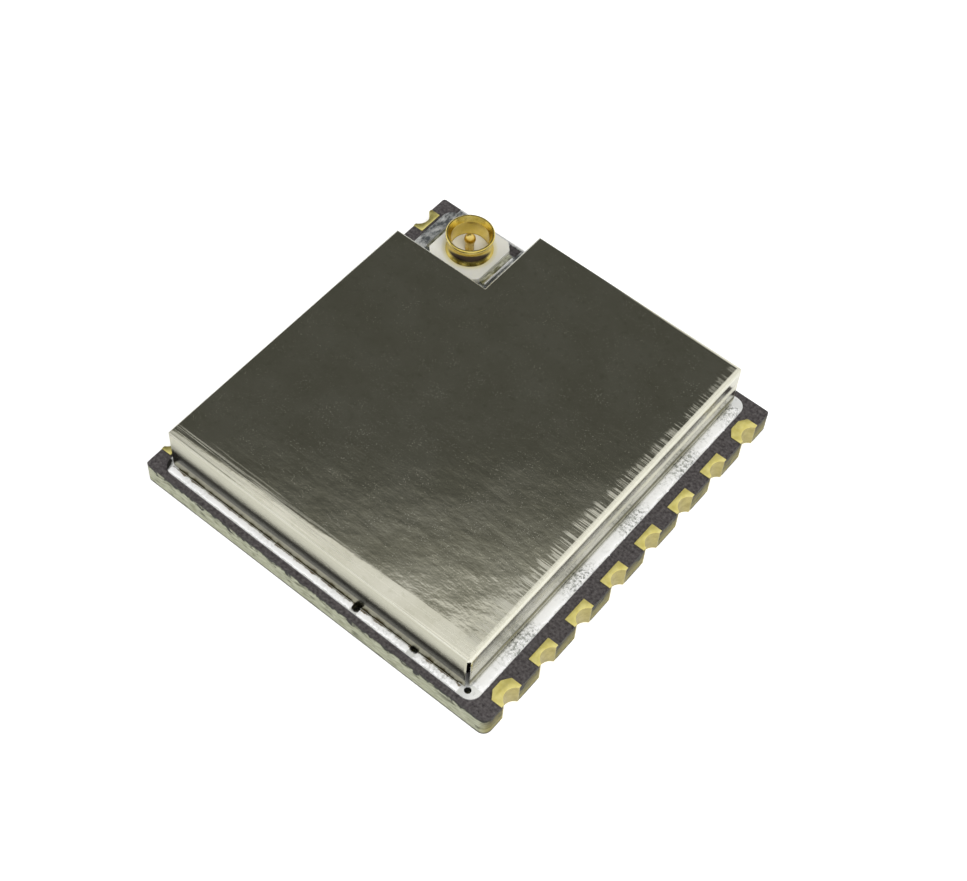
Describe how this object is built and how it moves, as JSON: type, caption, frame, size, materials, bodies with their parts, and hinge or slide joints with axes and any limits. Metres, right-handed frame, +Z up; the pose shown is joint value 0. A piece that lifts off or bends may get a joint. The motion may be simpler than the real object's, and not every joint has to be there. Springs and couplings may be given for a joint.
{
  "type": "shielded radio module",
  "caption": "Surface-mount radio module with castellated edge pads, a soldered folded shield can and a miniature coax socket.",
  "frame": {"origin": "middle of the board's underside, which is the face that is soldered down", "axes": "+Z up out of the shield can, +Y along the pad rows towards the end with the coax socket, pad rows on -X and +X"},
  "size_m": [0.0158, 0.0166, 0.0031],
  "materials": {
    "board": "black solder mask over woven glass and resin, cut edges bare olive",
    "gold_plate": "thin gold plating, satin",
    "tinning": "hot tinned copper, smooth",
    "can_sheet": "rolled nickel silver sheet, fine brush marks and specks",
    "solder": "reflowed solder, lumpy and dull in places",
    "socket_moulding": "off-white moulded polymer",
    "chip_moulding": "black moulding compound, fine matt grain",
    "ceramic_case": "sintered ceramic",
    "crystal_lid_sheet": "plated lid, satin",
    "capacitor_ceramic": "fired ceramic, tan",
    "inductor_ceramic": "fired ceramic, pale",
    "resistor_ceramic": "black resistor glaze"
  },
  "bodies": {
    "root": {"circuit_board": "board", "left_pad_1": "gold_plate", "left_pad_2": "gold_plate", "left_pad_3": "gold_plate", "left_pad_4": "gold_plate", "left_pad_5": "gold_plate", "left_pad_6": "gold_plate", "left_pad_7": "gold_plate", "left_pad_8": "gold_plate", "right_pad_1": "gold_plate", "right_pad_2": "gold_plate", "right_pad_3": "gold_plate", "right_pad_4": "gold_plate", "right_pad_5": "gold_plate", "right_pad_6": "gold_plate", "right_pad_7": "gold_plate", "right_pad_8": "gold_plate", "ground_land": "tinning", "signal_land": "tinning", "component_lands": "tinning", "shield_can": "can_sheet", "shield_solder": "solder", "socket_base": "socket_moulding", "socket_ring": "gold_plate", "socket_contact": "gold_plate", "socket_solder": "solder", "radio_chip": "chip_moulding", "radio_chip_leads": "tinning", "radio_chip_pad": "tinning", "crystal_case": "ceramic_case", "crystal_lid": "crystal_lid_sheet", "antenna_switch": "chip_moulding", "antenna_switch_leads": "tinning", "capacitor_bodies": "capacitor_ceramic", "capacitor_ends": "tinning", "inductor_bodies": "inductor_ceramic", "inductor_ends": "tinning", "resistor_bodies": "resistor_ceramic", "resistor_ends": "tinning"}
  },
  "joints": []
}
